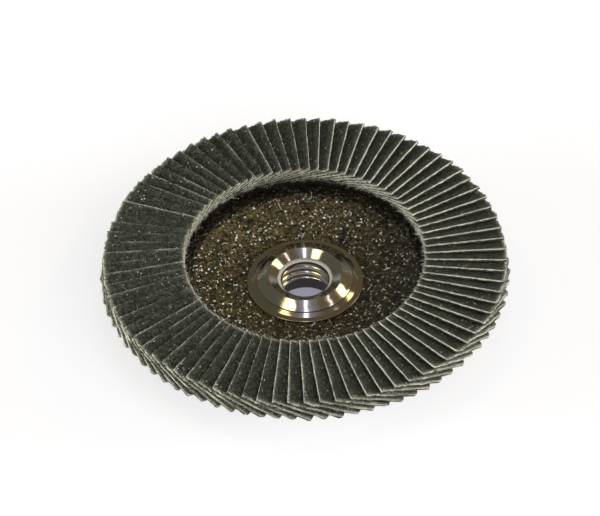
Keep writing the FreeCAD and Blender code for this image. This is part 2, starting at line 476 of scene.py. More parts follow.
def grain_material(colour, grain_size, cloth_colour):
    """Abrasive grain under a dark size coat, with pale flecks painted as glints and a worn edge."""
    speckle, cloudy, _ = shared_groups()
    material, tree, shader = new_material("abrasive_grain", colour, 0.5)
    grains = placed(tree, speckle, size=grain_size * 1.3, fleck_share=0.035)
    fine = placed(tree, speckle, size=grain_size * 0.8, fleck_share=0.08)
    clumps = placed(tree, cloudy, patch_size=5.5 * MM, roughness=0.85)
    tone = placed(tree, cloudy, patch_size=14 * MM)
    pale = maths(tree, "POWER", grains.outputs["Cell"], 2.0)
    base = blended(tree, pale, shade(colour, 0.15), shade(colour, 3.4))
    base = over(tree, base, fine.outputs["Cell"], 0.3, shade(colour, 0.15))
    light = maths(tree, "POWER", clumps.outputs["Fine"], 2.2)
    base = over(tree, base, light, 0.6, shade(colour, 3.6))
    base = over(tree, base, clumps.outputs["Patches"], 0.4, shade(colour, 0.5))
    base = over(tree, base, tone.outputs["Patches"], 0.25, GRAIN_STAIN)
    dust = maths(tree, "MULTIPLY", fine.outputs["Fleck"], ramp(tree, clumps.outputs["Fine"], 0.45, 0.8))
    base = over(tree, base, dust, 0.45, GRAIN_DUST)
    # Painted glints: pale flecks, smoother than the grain around them.
    bright = maths(
        tree, "MULTIPLY", grains.outputs["Fleck"], ramp(tree, clumps.outputs["Patches"], 0.25, 0.75))
    base = over(tree, base, bright, 0.85, PAINTED_GRAIN_GLINT)
    worn = maths(tree, "MULTIPLY", toned(tree), maths(tree, "POWER", clumps.outputs["Fine"], 1.4))
    worn = maths(tree, "MULTIPLY", worn, 1.9, clamp=True)
    base = blended(tree, worn, base, shade(cloth_colour, 0.72))
    tree.links.new(base, shader.inputs["Base Color"])
    roughened(tree, shader, 0.6, bright, -0.4)
    shader.inputs["Specular IOR Level"].default_value = 0.35
    bumped(tree, shader, grains.outputs["Height"], 0.14 * MM)
    return material


def cut_edge_material(colour):
    """Cut edge of the cloth: pale yarn ends with darker binder between them."""
    speckle, cloudy, _ = shared_groups()
    material, tree, shader = new_material("cloth_cut_edge", colour, 0.9)
    yarns = placed(tree, speckle, size=0.3 * MM, fleck_share=0.3)
    tone = placed(tree, cloudy, patch_size=7 * MM, roughness=0.8)
    base = blended(tree, yarns.outputs["Cell"], shade(colour, 0.62), shade(colour, 1.12))
    base = over(tree, base, yarns.outputs["Fleck"], 0.8, BRIGHT_YARN)
    edge_darkening = maths(tree, "MAXIMUM", maths(tree, "POWER", tone.outputs["Fine"], 1.2),
                  maths(tree, "MULTIPLY", tone.outputs["Patches"], 0.6))
    # The flap's ends, given by the mesh's tone, are darker than its long edges.
    edge_darkening = maths(tree, "ADD", maths(tree, "MULTIPLY", edge_darkening, 0.85),
                  maths(tree, "MULTIPLY", toned(tree), 0.28), clamp=True)
    base = blended(tree, edge_darkening, base, EDGE_DARK)
    tree.links.new(base, shader.inputs["Base Color"])
    shader.inputs["Sheen Weight"].default_value = 0.15
    bumped(tree, shader, yarns.outputs["Height"], 0.07 * MM)
    return material


def cloth_back_material(colour):
    """Underside of a flap: woven backing filled with binder."""
    _, cloudy, weave = shared_groups()
    material, tree, shader = new_material("cloth_backing", colour, 0.85)
    cloth = placed(tree, weave, pitch=0.55 * MM)
    tone = placed(tree, cloudy, patch_size=6 * MM)
    base = blended(tree, cloth.outputs["Gap"], shade(colour, 0.4), shade(colour, 0.15))
    base = over(tree, base, tone.outputs["Patches"], 0.4, BACK_BINDER)
    tree.links.new(base, shader.inputs["Base Color"])
    bumped(tree, shader, cloth.outputs["Height"], 0.08 * MM)
    return material


def shaded_edge_material(colour):
    """Lower part of a cut edge, painted dark as the shade between the flaps."""
    speckle, cloudy, _ = shared_groups()
    material, tree, shader = new_material("shaded_cut_edge", colour, 0.7)
    edge_flecks = placed(tree, speckle, size=0.35 * MM, fleck_share=0.04)
    tone = placed(tree, cloudy, patch_size=4 * MM)
    base = blended(tree, edge_flecks.outputs["Cell"], shade(colour, 0.4), shade(colour, 1.6))
    base = over(tree, base, tone.outputs["Fine"], 0.3, EDGE_SHADE_PATCH)
    base = over(tree, base, edge_flecks.outputs["Fleck"], 0.6, EDGE_SHADE_FLECK)
    tree.links.new(base, shader.inputs["Base Color"])
    bumped(tree, shader, edge_flecks.outputs["Height"], 0.08 * MM)
    return material


def fibre_material(colour):
    """Loose pale fibres at the cut ends."""
    _, cloudy, _ = shared_groups()
    material, tree, shader = new_material("frayed_fibre", colour, 0.8)
    tone = placed(tree, cloudy, patch_size=1.5 * MM)
    base = blended(tree, tone.outputs["Fine"], shade(colour, 0.5), shade(colour, 1.35))
    tree.links.new(base, shader.inputs["Base Color"])
    shader.inputs["Sheen Weight"].default_value = 0.3
    return material


# Flaps

GRAIN, CUT_EDGE, CLOTH_BACK, FIBRE, SHADED_EDGE = range(5)
# Loose fibres of a flap: their number, the edge they leave, and how far they reach
FRAY = ((56, "inner", 1.3), (56, "outer", 0.8), (12, "near", 0.4))
# Part of a flap's thickness that is abrasive grain, and of its width that the next flap leaves bare
GRAIN_SHARE = 0.07
EXPOSED_SHARE = 0.36
FIBRE_RADIUS = 0.026 * MM


def first_flap():
    """Inner top corner of the first flap, and its thickness, width and length vectors."""
    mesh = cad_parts[FLAP_NODES[0]].data
    corners = np.array(sorted({tuple(round(c, 7) for c in vertex.co) for vertex in mesh.vertices}))
    high = corners[np.argsort(-corners[:, 2])][:2]
    start = min(high, key=lambda corner: math.atan2(corner[1], corner[0]))
    from_start = corners - start
    lengths = np.linalg.norm(from_start, axis=1)
    # The thickness is the shortest edge. The other two edges stand square to it.
    thickness = from_start[np.argsort(lengths)[1]]
    thin = np.linalg.norm(thickness)
    square = np.abs(from_start @ thickness) < 1e-4 * thin * np.maximum(lengths, 1e-9)
    square &= lengths > 2 * thin
    sides = from_start[square]
    outward = start / np.linalg.norm(start[:2]) * (1, 1, 0)
    length = max(sides, key=lambda side: side @ outward / np.linalg.norm(side))
    falling = [side for side in sides
               if abs(side @ length) < 0.1 * np.linalg.norm(side) * np.linalg.norm(length)]
    width = min(falling, key=np.linalg.norm)
    return start, thickness, width, length


def frayed_fibres(rng, roots, directions, length, radius):
    """Thin curled fibres, each a three-sided tube of four rings."""
    rings, sides = 4, 3
    count = len(roots)
    spans = length * rng.uniform(0.35, 1.5, count)
    curl = rng.normal(0, 0.55, (count, 3))
    step = np.linspace(0, 1, rings)[None, :, None]
    path = directions[:, None, :] * step + curl[:, None, :] * step ** 2
    path = roots[:, None, :] + path * spans[:, None, None]
    around = np.arange(sides) * 2 * math.pi / sides
    helper = np.cross(directions, (0.3, 0.2, 0.93))
    helper /= np.linalg.norm(helper, axis=1)[:, None] + 1e-9
    other = np.cross(directions, helper)
    ring = (helper[:, None, :] * np.cos(around)[None, :, None]
            + other[:, None, :] * np.sin(around)[None, :, None])
    taper = np.linspace(1.0, 0.35, rings)[None, :, None, None]
    thick = radius * rng.uniform(0.7, 1.4, count)[:, None, None, None]
    points = path[:, :, None, :] + ring[:, None, :, :] * taper * thick
    return points.reshape(-1, 3), tube_faces(count, rings, sides)


def flap_mesh(rng, lie, props):
    """One flap in its own place: grain on top, cloth below, ragged cut edges and fray."""
    start, thickness, width, length = (np.array(v, dtype=float) for v in lie)
    long_dir, wide_dir, down_dir = (v / np.linalg.norm(v) for v in (length, width, thickness))
    thick, wide, long = (np.linalg.norm(v) for v in (thickness, width, length))
    # Fine columns on the exposed strip, coarse ones under the next flap
    exposed = EXPOSED_SHARE * wide
    corner_round = 1.3 * MM
    across = np.concatenate([
        [0.0, 0.12 * MM], np.linspace(0.32 * MM, exposed, 16),
        np.linspace(exposed, wide - corner_round, 4)[1:],
        wide - corner_round * np.array([0.5, 0.2, 0.0])])
    along = np.linspace(0, long, 74)
    levels = (0.0, GRAIN_SHARE, GRAIN_SHARE + props.cloth_share / 2,
              GRAIN_SHARE + props.cloth_share, 1.0)
    salt = rng.uniform(0, 900)
    skin = 0.03 * MM

    def wobble(distance, scale, size, seed):
        """Smooth random waves along a distance, up to a size on both sides of 0."""
        return (value_noise(distance / scale, np.full(np.shape(distance), seed), salt) - 0.5) * 2 * size

    def ragged(u, v, level):
        """Cut lines that wander, more at the ends of the yarns than along them."""
        side_reach, end_reach = 0.25 * MM, 0.3 * MM
        near = np.exp(-v / side_reach)
        far = np.exp(-(wide - v) / side_reach)
        inner = np.exp(-u / end_reach)
        outer = np.exp(-(long - u) / end_reach)
        cut = wobble(u, 0.5 * MM, 0.07 * MM, level * 3.1) + wobble(u, 5 * MM, 0.08 * MM, 5.5)
        torn = wobble(v, 0.4 * MM, 0.16 * MM, level * 4.7 + 9) + wobble(v, 2.5 * MM, 0.13 * MM, 3.3)
        frayed = wobble(v, 0.5 * MM, 0.36 * MM, level * 6.1 + 2) + wobble(v, 2.2 * MM, 0.26 * MM, 7.3)
        # The hidden outer corner is worn round.
        past = np.clip((v - wide + corner_round) / corner_round, 0, 1)
        reach = np.minimum(u, long - corner_round * (1 - np.sqrt(1 - past * past)))
        return reach + torn * inner - frayed * outer, v + cut * (near - far)

    def place(u, v, depth):
        """Points at u along the flap, v across it and a depth below its grain side."""
        return (start + long_dir * u[..., None] + wide_dir * v[..., None]
                + down_dir * np.asarray(depth)[..., None])

    def grain_top(u, v):
        """Points of the grain side, sunk a little so that the grains end flush."""
        relief = lumps(u / props.grain_size + salt, v / props.grain_size, 11.0)
        relief = relief * (0.5 + value_noise(u / (1.1 * MM), v / (1.1 * MM), salt + 5))
        relief = relief * np.clip(v / (0.4 * MM), 0.4, 1.0)
        ru, rv = ragged(u, v, 0.0)
        return place(ru, rv, skin - relief * props.grain_relief)

    flap = Patchwork()
    u, v = np.meshgrid(along, across, indexing="ij")
    # Yarn shows along some stretches of the edge, and more on some flaps than on others
    bare = np.clip(value_noise(u / (5 * MM), np.full_like(u, 2.5), salt) * 2.2 - 0.45, 0, 1)
    bare = rng.uniform(0.0, 1.3) * bare
    worn = bare * np.exp(-v / (0.16 * MM))
    worn = worn + 0.8 * np.exp(-u / (0.3 * MM)) + 0.8 * np.exp(-(long - u) / (0.35 * MM))
    flap.add_grid(grain_top(u, v), GRAIN, flip=True, tone=np.clip(worn, 0, 1))
    # Cut sides, from the grain down to the back of the cloth. The ends are darker than the long edges.
    for edge_u, edge_v, flip, end_darkening in (
            (along, np.zeros_like(along), True, 0.0),
            (along, np.full_like(along, wide), False, 0.0),
            (np.zeros_like(across), across, False, 0.8),
            (np.full_like(across, long), across, True, 0.35)):
        rows = [grain_top(edge_u, edge_v)]
        for level in levels[1:]:
            eu, ev = ragged(edge_u, edge_v, level)
            # The yarn shows as a band of uneven width.
            sag = wobble(edge_u + edge_v, 0.9 * MM, 0.15 * MM, 8.8) if level == levels[3] else 0.0
            rows.append(place(eu, ev, np.full_like(edge_u, level * thick) + sag))
        flap.add_grid(np.array(rows[:2]), GRAIN, flip=flip)
        flap.add_grid(np.array(rows[1:4]), CUT_EDGE, flip=flip, tone=end_darkening)
        # Below the pale yarn the cut side is painted dark: painted shade between the flaps.
        flap.add_grid(np.array(rows[3:]), SHADED_EDGE, flip=flip)
    # Back of the cloth
    coarse_u, coarse_v = np.meshgrid(
        np.append(along[:-1:3], long), np.append(across[:-1:3], wide), indexing="ij")
    bu, bv = ragged(coarse_u, coarse_v, 1.0)
    flap.add_grid(place(bu, bv, np.full_like(bu, thick)), CLOTH_BACK)
    # Fray at the inner end, the outer end and the exposed edge
    roots, ways = [], []
    for count, edge, reach in FRAY:
        share = rng.uniform(0, 1, count)
        depth = rng.uniform(levels[1], levels[3], count) * thick
        if edge == "near":
            root_u, root_v, way = share * long, np.zeros(count), -wide_dir
        else:
            root_u = np.zeros(count) if edge == "inner" else np.full(count, long)
            root_v = share * wide
            # Pulled yarn lies along the cut and stands off it a little.
            outward = -long_dir if edge == "inner" else long_dir
            way = outward * 0.35 + wide_dir * rng.choice((-1, 1), count)[:, None]
        roots.append(place(root_u, root_v, depth))
        spread = rng.normal(0, 0.3, (count, 3)) + down_dir * 0.05
        ways.append((way + spread) * reach)
    fibre_points, fibre_faces = frayed_fibres(
        rng, np.vstack(roots), np.vstack(ways), props.fray_length, FIBRE_RADIUS)
    flap.add(fibre_points, fibre_faces, FIBRE)
    return flap.arrays()


def swayed(rng, lie, props):
    """The lie of a flap after the small shifts of hand-laid cloth."""
    start, thickness, width, length = (np.array(v, dtype=float) for v in lie)
    long_dir = length / np.linalg.norm(length)
    wide_dir = width / np.linalg.norm(width)
    shift = long_dir * rng.normal(0, 0.5) * props.sway + wide_dir * rng.normal(0, 0.4) * props.sway
    swing = rng.normal(0, 0.0035)
    length = length + wide_dir * np.linalg.norm(length) * swing
    width = width - long_dir * np.linalg.norm(width) * swing
    return start + shift, thickness, width, length


class FLAPDISC_OT_flaps(bpy.types.Operator):
    """Make the ring of cloth flaps, two to a piece, and hide the plain ones"""
    bl_idname = "flapdisc.flaps"
    bl_label = "Cloth Flaps"

    def execute(self, context):
        props = context.scene.flapdisc_cloth
        materials = [
            grain_material(props.grain_colour, props.grain_size, props.cloth_colour),
            cut_edge_material(props.cloth_colour),
            cloth_back_material(props.cloth_colour),
            fibre_material(props.cloth_colour),
            shaded_edge_material(props.grain_colour),
        ]
        lie = first_flap()
        for number, node in enumerate(FLAP_NODES):
            pair = Patchwork()
            for index in (2 * number, 2 * number + 1):
                rng = np.random.RandomState(1000 + index)
                points, faces, kinds, tones = flap_mesh(rng, swayed(rng, lie, props), props)
                pair.add(turned(points, index * PITCH), faces, kinds, tones)
            points, faces, kinds, tones = pair.arrays()
            piece = new_piece(f"cloth_{node}", points, faces, materials, kinds, tones)
            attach(piece, BODY)
            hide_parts(node)
        return {"FINISHED"}


# Backing plate and adhesive

RESIN_DEEP = (0.012, 0.010, 0.004)
RESIN_OLIVE = (0.046, 0.048, 0.016)
RESIN_AMBER = (0.40, 0.30, 0.11)
RESIN_GRANULE = (0.008, 0.008, 0.004)
RESIN_CREASE_SHADE = (0.004, 0.004, 0.002)
RESIN_IN_SHADE = (0.005, 0.004, 0.003)
PAINTED_RESIN_GLINT = (1.0, 1.0, 0.95)
GLASS_STRAND = (0.26, 0.19, 0.085)
BACK_STAIN = (0.03, 0.025, 0.014)
# The adhesive is near black as painted shade under the flaps' inner ends.
SHADED_ADHESIVE = (0.018, 0.014, 0.009)


def resin_material(colour, granule_size):
    """Glossy amber and olive resin over coarse granules, with painted shade in the pits, near the rim
    and towards +x, painted light towards +y, and painted pale glints.
    """
    speckle, cloudy, _ = shared_groups()
    material, tree, shader = new_material("granular_resin", colour, 0.2)
    granules = placed(tree, speckle, size=granule_size * 0.68, fleck_share=0.07)
    chips = placed(tree, speckle, size=granule_size * 0.40, fleck_share=0.07)
    tone = placed(tree, cloudy, patch_size=7 * MM, roughness=0.7)
    swirl = placed(tree, cloudy, patch_size=13 * MM, roughness=0.6)
    base = blended(tree, swirl.outputs["Fine"], RESIN_DEEP, shade(colour, 1.7))
    base = over(tree, base, tone.outputs["Patches"], 0.6, RESIN_OLIVE)
    radius, across, along = axis_distance(tree)
    # Amber patches, more of them and brighter towards +y: painted light on that side of the dish.
    amber_and_painted_light = maths(tree, "POWER", tone.outputs["Fine"], maths(tree, "SUBTRACT", 3.2, maths(
        tree, "MULTIPLY", ramp(tree, along, 3 * MM, 20 * MM), 1.8)))
    base = over(tree, base, amber_and_painted_light, 0.65, RESIN_AMBER)
    base = over(tree, base, granules.outputs["Cell"], 0.85, RESIN_GRANULE)
    # Painted shade: the creases between the granules, low in the mesh's tone, turn black.
    base = blended(tree, ramp(tree, toned(tree), 0.45, 0.05), base, RESIN_CREASE_SHADE)
    # Painted shade near the rim, under the flaps' inner ends, and towards +x; the painted glints fade
    # in it.
    resin_shade = maths(tree, "MAXIMUM", ramp(tree, radius, 31.3 * MM, 33.3 * MM),
                 maths(tree, "MULTIPLY", ramp(tree, across, 4 * MM, 24 * MM), 0.72))
    base = over(tree, base, resin_shade, 0.85, RESIN_IN_SHADE)
    # Painted glints: pale flecks that stand in for the lamps' glints on the resin.
    painted_glint = maths(tree, "MAXIMUM", granules.outputs["Fleck"], chips.outputs["Fleck"])
    unshaded = maths(tree, "SUBTRACT", 1.0, maths(tree, "MULTIPLY", resin_shade, 0.9))
    painted_glint = maths(tree, "MULTIPLY", painted_glint, unshaded)
    base = blended(tree, painted_glint, base, PAINTED_RESIN_GLINT)
    tree.links.new(base, shader.inputs["Base Color"])
    roughened(tree, shader, 0.14, tone.outputs["Fine"], 0.25)
    shader.inputs["Specular IOR Level"].default_value = 0.6
    bumped(tree, shader, granules.outputs["Height"], 0.2 * MM)
    return material


def plate_back_material(colour, pitch):
    """Back of the plate: coarse glass mesh pressed into resin."""
    _, cloudy, weave = shared_groups()
    material, tree, shader = new_material("glass_mesh_resin", colour, 0.45)
    strands = placed(tree, weave, pitch=pitch)
    tone = placed(tree, cloudy, patch_size=12 * MM)
    base = blended(tree, strands.outputs["Height"], shade(colour, 0.45), GLASS_STRAND)
    base = blended(tree, strands.outputs["Gap"], base, shade(colour, 0.4))
    base = over(tree, base, tone.outputs["Patches"], 0.4, BACK_STAIN)
    tree.links.new(base, shader.inputs["Base Color"])
    roughened(tree, shader, 0.32, tone.outputs["Fine"], 0.3)
    bumped(tree, shader, tone.outputs["Fine"], 0.06 * MM)
    return material


def adhesive_material(colour):
    """Cured adhesive squeezed out between the flaps, darkened to near black as painted shade under the
    flaps' inner ends.
    """
    speckle, cloudy, _ = shared_groups()
    material, tree, shader = new_material("cured_adhesive", colour, 0.4)
    beads = placed(tree, speckle, size=0.7 * MM, fleck_share=0.02)
    tone = placed(tree, cloudy, patch_size=5 * MM)
    base = blended(tree, tone.outputs["Patches"], shade(colour, 0.35), shade(colour, 0.9))
    tree.links.new(base, shader.inputs["Base Color"])
    roughened(tree, shader, 0.3, tone.outputs["Fine"], 0.35)
    bumped(tree, shader, beads.outputs["Height"], 0.12 * MM)
    return material


def profile_of(node, side):
    """Half outline of a turned node: radius and height, sorted outward, of its top or back."""
    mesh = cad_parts[node].data
    points = {(round(math.hypot(v.co.x, v.co.y), 5), round(v.co.z, 5)) for v in mesh.vertices}
    by_radius = {}
    pick = max if side == "top" else min
    for radius, z in points:
        by_radius[radius] = pick(by_radius.get(radius, z), z)
    radii = sorted(by_radius)
    return np.array(radii), np.array([by_radius[radius] for radius in radii])


class FLAPDISC_OT_plate(bpy.types.Operator):
    """Make the resin plate with its granular dish and its glass mesh back"""
    bl_idname = "flapdisc.plate"
    bl_label = "Resin Plate"

    def execute(self, context):
        props = context.scene.flapdisc_plate
        materials = [
            resin_material(props.resin_colour, props.granule_size),
            plate_back_material(props.resin_colour, props.weave_pitch),
        ]
        top_radii, top_heights = profile_of("backing_plate", "top")
        back_radii, back_heights = profile_of("backing_plate", "back")
        hole, rim = top_radii[0], top_radii[-1]
        segments, back_count = 540, 34
        # Fine rings as far out as the plate can be seen, and coarse ones under the flaps
        seen = 40.0 * MM
        radii = np.append(np.linspace(hole, seen, 84), np.linspace(seen, rim, 12)[1:])
        angles = np.arange(segments) * 2 * math.pi / segments
        r, a = np.meshgrid(radii, angles, indexing="ij")
        x, y = r * np.cos(a), r * np.sin(a)
        z = np.interp(r, top_radii, top_heights)
        size = props.granule_size
        relief = lumps(x / size, y / size, 3.0) + 0.45 * lumps(x / (0.5 * size), y / (0.5 * size), 8.0)
        relief += 0.5 * value_noise(x / (3 * size), y / (3 * size), 5.0) - 0.6
        # The granules end beside the front flange and under the flaps.
        flange_side, flap_side = 17.0 * MM, 45 * MM
        clear = np.clip((r - flange_side) / (2 * MM), 0, 1) * np.clip((flap_side - r) / (3 * MM), 0, 1)
        top = np.stack([x, y, z + relief * props.granule_relief * clear], axis=-1)
        # The tone is the granules' height, which paints shade into the creases.
        low, high = np.percentile(relief, (4, 96))
        tones = [np.clip((relief - low) / (high - low), 0, 1).ravel(), np.ones(back_count * segments)]
        back_rings = np.linspace(rim, hole, back_count)
        r, a = np.meshgrid(back_rings, angles, indexing="ij")
        x, y = r * np.cos(a), r * np.sin(a)
        z = np.interp(r, back_radii, back_heights)
        turn = math.pi / props.weave_pitch
        strands = np.maximum(np.abs(np.sin(x * turn)), np.abs(np.sin(y * turn)))
        # The glass mesh is pressed in between the hub's rear flange and the rim.
        flange_side, gap_depth = 19.5 * MM, 0.22 * MM
        inset = np.clip((rim - r) / (2 * MM), 0, 1) * np.clip((r - flange_side) / (1 * MM), 0, 1)
        back = np.stack([x, y, z + (1 - strands) * gap_depth * inset], axis=-1)
        points = np.vstack([top.reshape(-1, 3), back.reshape(-1, 3)])
        rows = len(radii) + len(back_rings)
        faces = grid_faces(rows, segments, wrap=True, flip=True)
        hole_faces = grid_faces(2, segments, wrap=True, flip=True)
        last = (rows - 1) * segments
        hole_faces = np.where(hole_faces < segments, hole_faces + last, hole_faces - segments)
        faces = np.vstack([faces, hole_faces])
        # The rim and all behind it show the glass mesh.
        kinds = np.zeros(len(faces), dtype=int)
        kinds[(len(radii) - 3) * segments:] = 1
        piece = new_piece("resin_plate", points, faces, materials, kinds, np.concatenate(tones))
        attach(piece, BODY)
        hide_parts("backing_plate")
        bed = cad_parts["adhesive_bed"]
        bed.data.materials.clear()
        bed.data.materials.append(adhesive_material(SHADED_ADHESIVE))
        return {"FINISHED"}


class FLAPDISC_OT_lint(bpy.types.Operator):
    """Scatter short pale yarn ends over the resin dish"""
    bl_idname = "flapdisc.lint"
    bl_label = "Yarn Ends"

    def execute(self, context):
        props = context.scene.flapdisc_plate
        rng = np.random.RandomState(77)
        radii, heights = profile_of("backing_plate", "top")
        count, rings, sides = props.lint_count, 8, 4
        inner, outer = 17.5 * MM, 33.5 * MM
        yarn_radius, lift, arch_height = 0.11 * MM, 0.18 * MM, 0.35 * MM
        radius = np.sqrt(rng.uniform(inner ** 2, outer ** 2, count))
        angle = rng.uniform(0, 2 * math.pi, count)
        x, y = radius * np.cos(angle), radius * np.sin(angle)
        length = props.lint_length * rng.gamma(4.0, 0.25, count)
        heading = rng.uniform(0, 2 * math.pi, count)
        bend = rng.normal(0, 1.6, count)
        share = np.linspace(-0.5, 0.5, rings)[None, :]
        turn = heading[:, None] + bend[:, None] * share
        px = x[:, None] + np.cumsum(np.cos(turn), axis=1) * length[:, None] / rings
        py = y[:, None] + np.cumsum(np.sin(turn), axis=1) * length[:, None] / rings
        taper = np.array([0.4, 0.8, 1, 1, 1, 1, 0.8, 0.4])
        thick = yarn_radius * rng.uniform(0.6, 1.4, count)[:, None] * taper
        arch = arch_height * np.cos(share * math.pi) * rng.uniform(0.2, 1, count)[:, None]
        pz = np.interp(np.hypot(px, py), radii, heights) + lift + arch
        around = np.arange(sides) * 2 * math.pi / sides
        across = np.stack([-np.sin(turn), np.cos(turn), np.zeros_like(turn)], axis=-1)[:, :, None, :]
        upward = np.array([0.0, 0.0, 1.0])
        ring = across * np.cos(around)[:, None] + upward * np.sin(around)[:, None]
        points = np.stack([px, py, pz], axis=-1)[:, :, None, :] + ring * thick[:, :, None, None]
        material = fibre_material(context.scene.flapdisc_cloth.cloth_colour)
        faces = tube_faces(count, rings, sides)
        piece = new_piece("yarn_ends", points.reshape(-1, 3), faces, [material])
        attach(piece, BODY)
        return {"FINISHED"}


# Hub and front flange

ORANGE_REFLECTION = (0.50, 0.24, 0.09)
TURNED_FACE = (0.95, 0.94, 0.88)
FACE_DARK_SIDE = (0.11, 0.09, 0.065)
HUB_SEGMENTS = 300
# Sizes that the hub's solid leaves plain, in millimetres
FACE_INSET = 0.27
MOUTH_CHAMFER, MOUTH_DEPTH = 0.3, 0.25
THREAD_STOP = 0.60
THREAD_FADE = 0.35
# The funnel is worn a little flatter than the solid's.
FUNNEL_SLOPE = math.radians(30.5)


def steel_material(colour, name, roughness, wear, orange_reflection=0.0, grooves=0.1):
    """Bright plated steel with faint turning marks, smears, and orange patches painted as reflections.
    """
    speckle, cloudy, _ = shared_groups()
    material, tree, shader = new_material(name, colour, roughness, metallic=1.0)
    tone = placed(tree, cloudy, patch_size=5 * MM)
    pits = placed(tree, speckle, size=0.5 * MM, fleck_share=0.012)
    base = over(tree, colour, tone.outputs["Fine"], wear, shade(colour, 0.62))
    # Painted reflections: orange patches that stand in for something orange mirrored in the steel.
    orange_patches = maths(tree, "MULTIPLY", ramp(tree, tone.outputs["Patches"], 0.72, 0.95), orange_reflection)
    base = blended(tree, orange_patches, base, ORANGE_REFLECTION)
    tree.links.new(base, shader.inputs["Base Color"])
    roughened(tree, shader, roughness, tone.outputs["Patches"], 0.07)
    radius, _, _ = axis_distance(tree)
    rings = maths(tree, "SINE", maths(tree, "MULTIPLY", radius, 2 * math.pi / (0.22 * MM)))
    marks = maths(tree, "ADD", maths(tree, "MULTIPLY", rings, grooves), pits.outputs["Fleck"])
    bumped(tree, shader, marks, 0.0015 * MM)
    return material


def faced_material(colour):
    """Pale satin face that was turned and not polished, darker towards -y."""
    _, cloudy, _ = shared_groups()
    material, tree, shader = new_material("faced_steel", colour, 0.4, metallic=0.15)
    tone = placed(tree, cloudy, patch_size=3 * MM)
    base = over(tree, colour, tone.outputs["Fine"], 0.4, shade(colour, 0.75))
    _, _, along = axis_distance(tree)
    # Darker towards -y.
    base = blended(tree, ramp(tree, along, -2 * MM, -5.5 * MM), base, FACE_DARK_SIDE)
    tree.links.new(base, shader.inputs["Base Color"])
    roughened(tree, shader, 0.34, tone.outputs["Patches"], 0.12)
    bumped(tree, shader, tone.outputs["Fine"], 0.006 * MM)
    return material


def filleted(corners, steps=9):
    """Outline with an arc at each corner, from corners of radius, height and rounding."""
    spots = [np.array(corner[:2], dtype=float) for corner in corners]
    roundings = [corner[2] for corner in corners[1:]]
    out = [spots[0]]
    for before, corner, after, rounding in zip(spots, spots[1:], spots[2:], roundings):
        back, ahead = before - corner, after - corner
        back_reach, ahead_reach = np.linalg.norm(back), np.linalg.norm(ahead)
        back, ahead = back / back_reach, ahead / ahead_reach
        half = math.acos(np.clip(back @ ahead, -1, 1)) / 2
        if rounding <= 0 or half > 1.55:
            out.append(corner)
            continue
        tangent = min(rounding / math.tan(half), 0.48 * back_reach, 0.48 * ahead_reach)
        radius = tangent * math.tan(half)
        middle = corner + (back + ahead) / np.linalg.norm(back + ahead) * radius / math.sin(half)
        start, end = corner + back * tangent - middle, corner + ahead * tangent - middle
        sweep = math.pi - 2 * half
        for share in np.linspace(0, 1, steps):
            mix = math.sin((1 - share) * sweep) * start + math.sin(share * sweep) * end
            out.append(middle + mix / math.sin(sweep))
    out.append(spots[-1])
    return np.array(out)


def resampled(outline, spacing):
    """Outline with extra points so that no span is longer than the spacing."""
    out = [outline[0]]
    for start, end in zip(outline, outline[1:]):
        count = max(1, int(math.ceil(np.linalg.norm(end - start) / spacing)))
        for step in range(1, count + 1):
            out.append(start + (end - start) * step / count)
    return np.array(out)


# Kinds of the hub's faces; the last is steel painted dark as shade in the bore.
BRIGHT, CUT, FACED, BORE_SHADE = range(4)


def spun(outline):
    """Grid of points turned about the axis from an outline."""
    angles = np.arange(HUB_SEGMENTS) * 2 * math.pi / HUB_SEGMENTS
    radius = outline[:, 0][:, None]
    height = np.repeat(outline[:, 1][:, None], HUB_SEGMENTS, axis=1)
    return np.stack([radius * np.cos(angles), radius * np.sin(angles), height], axis=-1)


def crossing(line_a, line_b):
    """Point where two lines in the profile plane meet, each given by two points."""
    (p, q), (r, t) = [np.array(line, dtype=float) for line in (line_a, line_b)]
    along, other = q - p, t - r
    share = np.linalg.solve(np.array([along, -other]).T, r - p)[0]
    return p + along * share


class HubForm:
    """Radii and heights of the hub in millimetres, read from its node."""

    # Sizes of the node that differ by less are the same.
    same = 0.01

    def __init__(self):
        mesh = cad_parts["threaded_hub"].data
        self.pairs = sorted({(round(math.hypot(v.co.x, v.co.y) / MM, 3), round(v.co.z / MM, 3))
                             for v in mesh.vertices})
        self.minor = self.pairs[0][0]
        bore = self.at_radius(self.minor)
        self.bore_foot, self.bore_face = bore[0], bore[-1]
        base = self.at_height(0.0)
        self.counterbore, self.hex_chamfer_radius = base[0], base[-1]
        self.flange_radius = self.pairs[-1][0]
        rim = self.at_radius(self.flange_radius)
        self.flange_low, self.flange_top = rim[0], rim[-1]
        # The hexagon flares out to the widest ring below the flange's rim.
        below = [(r, z) for r, z in self.pairs if 0 < z < self.flange_low - 0.05]
        self.hex_corner = max(r for r, _ in below if r > self.counterbore + 1)
        self.hex_top = max(self.at_radius(self.hex_corner))
        self.hex_chamfer_top = min(self.at_radius(self.hex_corner))
        self.hex_turn = next(math.atan2(v.co.y, v.co.x) for v in mesh.vertices
                             if abs(math.hypot(v.co.x, v.co.y) / MM - self.hex_corner) < self.same)
        self.flange_chamfer = self.at_height(self.hex_top)[-1]
        self.face_radius = self.at_height(self.bore_face)[-1]
        self.spigot = self.at_height(self.flange_top)[0]
        lip = [(r, z) for r, z in self.pairs if z > self.bore_face + 0.1]
        self.lip_edge = lip[-1][0]
        edge = self.at_radius(self.lip_edge)
        self.lip_low, self.lip_high = edge[0], edge[-1]
        crown = [(r, z) for r, z in lip if r < self.lip_edge - 0.05 and z > self.lip_low + 0.1]
        self.apex = crossing(crown[:2], [crown[-1], (self.lip_edge, self.lip_high)])

    def at_radius(self, radius):
        return sorted(z for r, z in self.pairs if abs(r - radius) < self.same)

    def at_height(self, height):
        return sorted(r for r, z in self.pairs if abs(z - height) < self.same)


